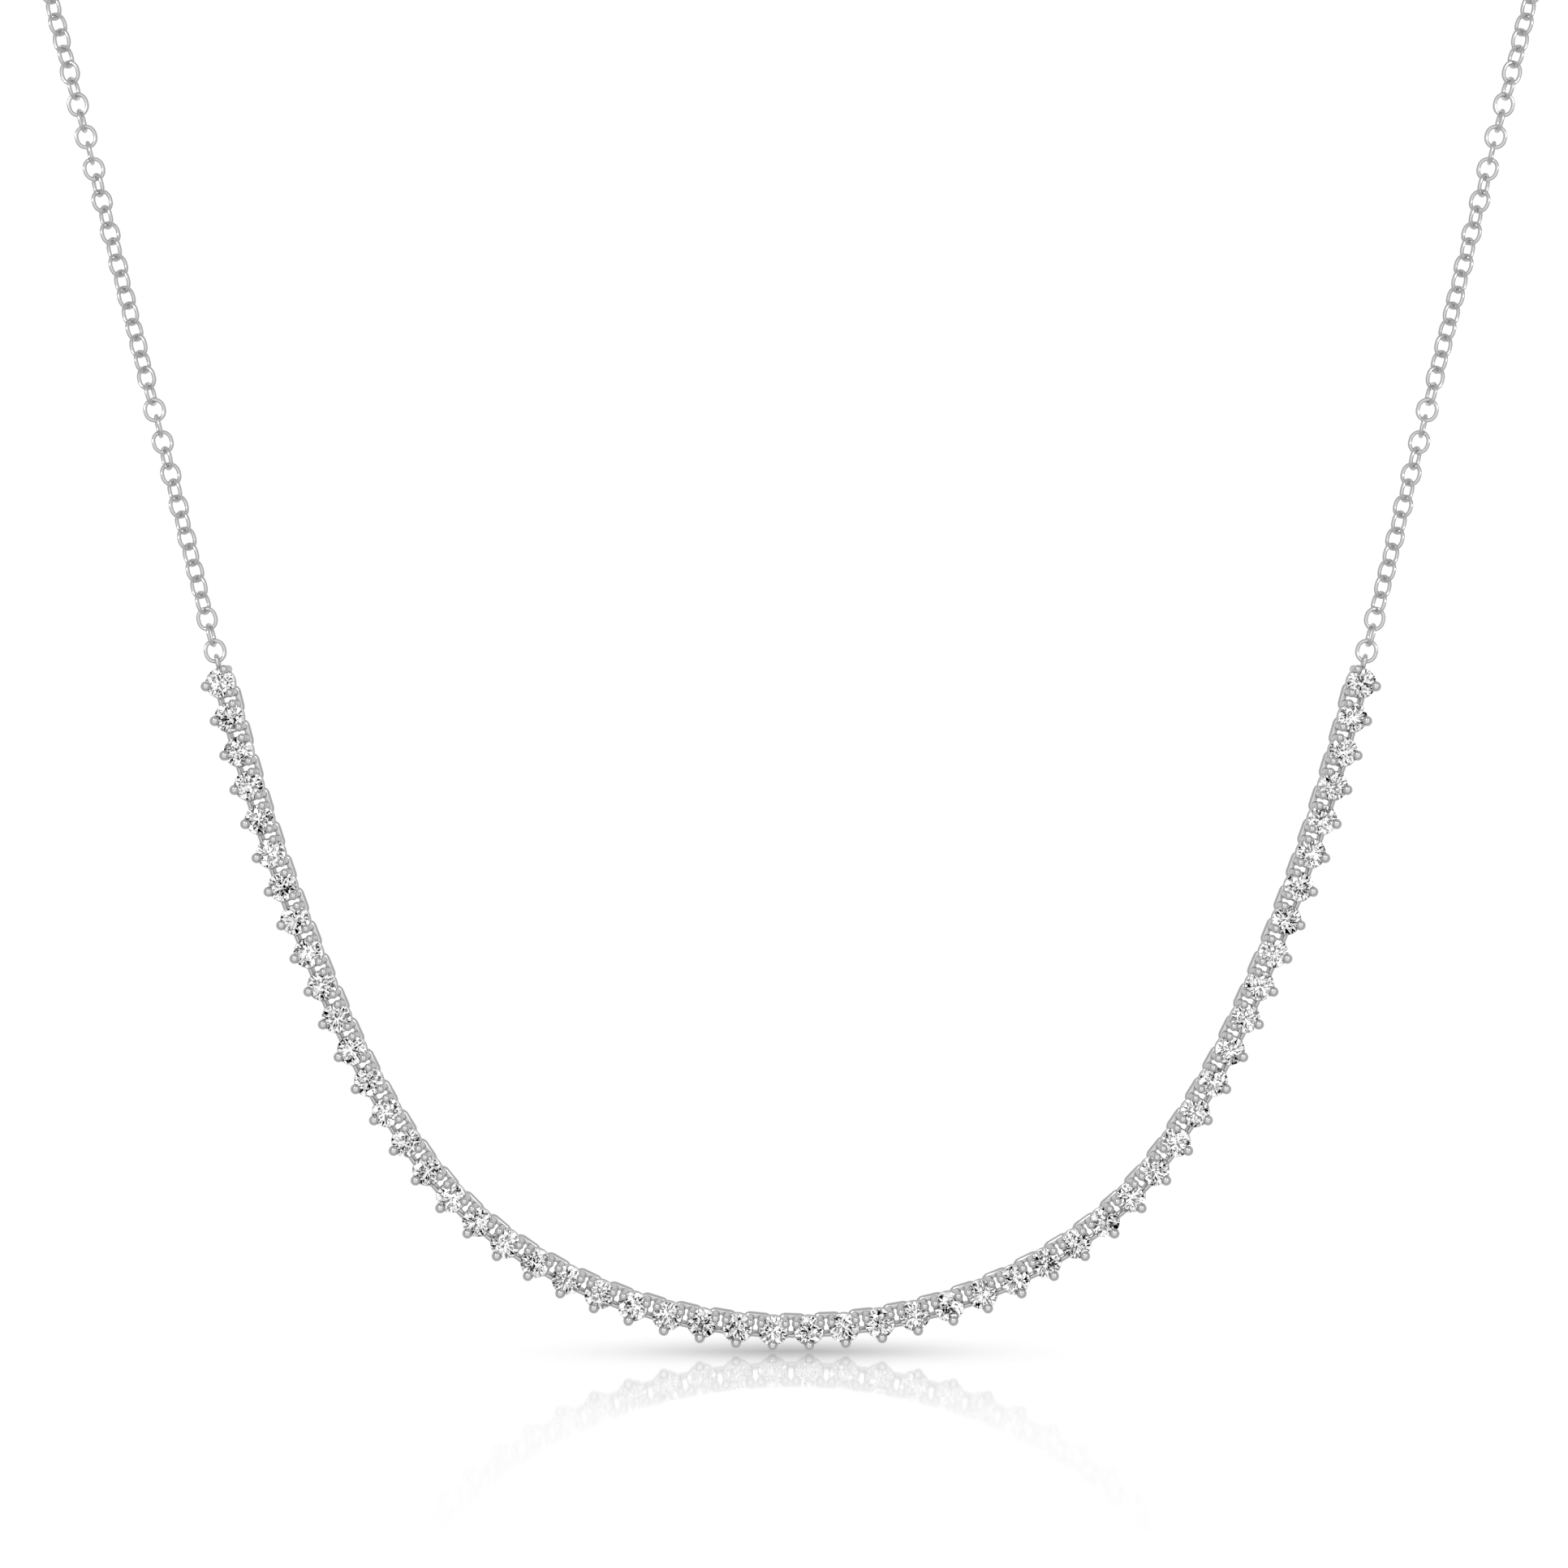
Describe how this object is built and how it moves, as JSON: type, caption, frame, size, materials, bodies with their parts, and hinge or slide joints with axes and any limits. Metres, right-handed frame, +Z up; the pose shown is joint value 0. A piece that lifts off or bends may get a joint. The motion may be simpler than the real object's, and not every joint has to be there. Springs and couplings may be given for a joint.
{
  "type": "diamond necklace",
  "caption": "Row of round brilliant stones in pronged baskets, joined link to link, on a fine cable chain that closes behind the neck.",
  "frame": {"origin": "on the neck's axis, level with the chain at the nape, at the centre of the half circle that the chain makes round the nape", "axes": "+Z up along the neck, -Y forwards to the row of stones, +X to the right as seen from the front"},
  "size_m": [0.111, 0.0761, 0.1111],
  "materials": {
    "diamond": "cut and polished",
    "white_gold": "rhodium plated and polished"
  },
  "bodies": {
    "root": {"diamonds": "diamond", "settings_left": "white_gold", "settings_right": "white_gold", "chain_left": "white_gold", "chain_right": "white_gold", "nape_chain_left": "white_gold", "nape_chain_right": "white_gold", "clasp": "white_gold"}
  },
  "joints": []
}
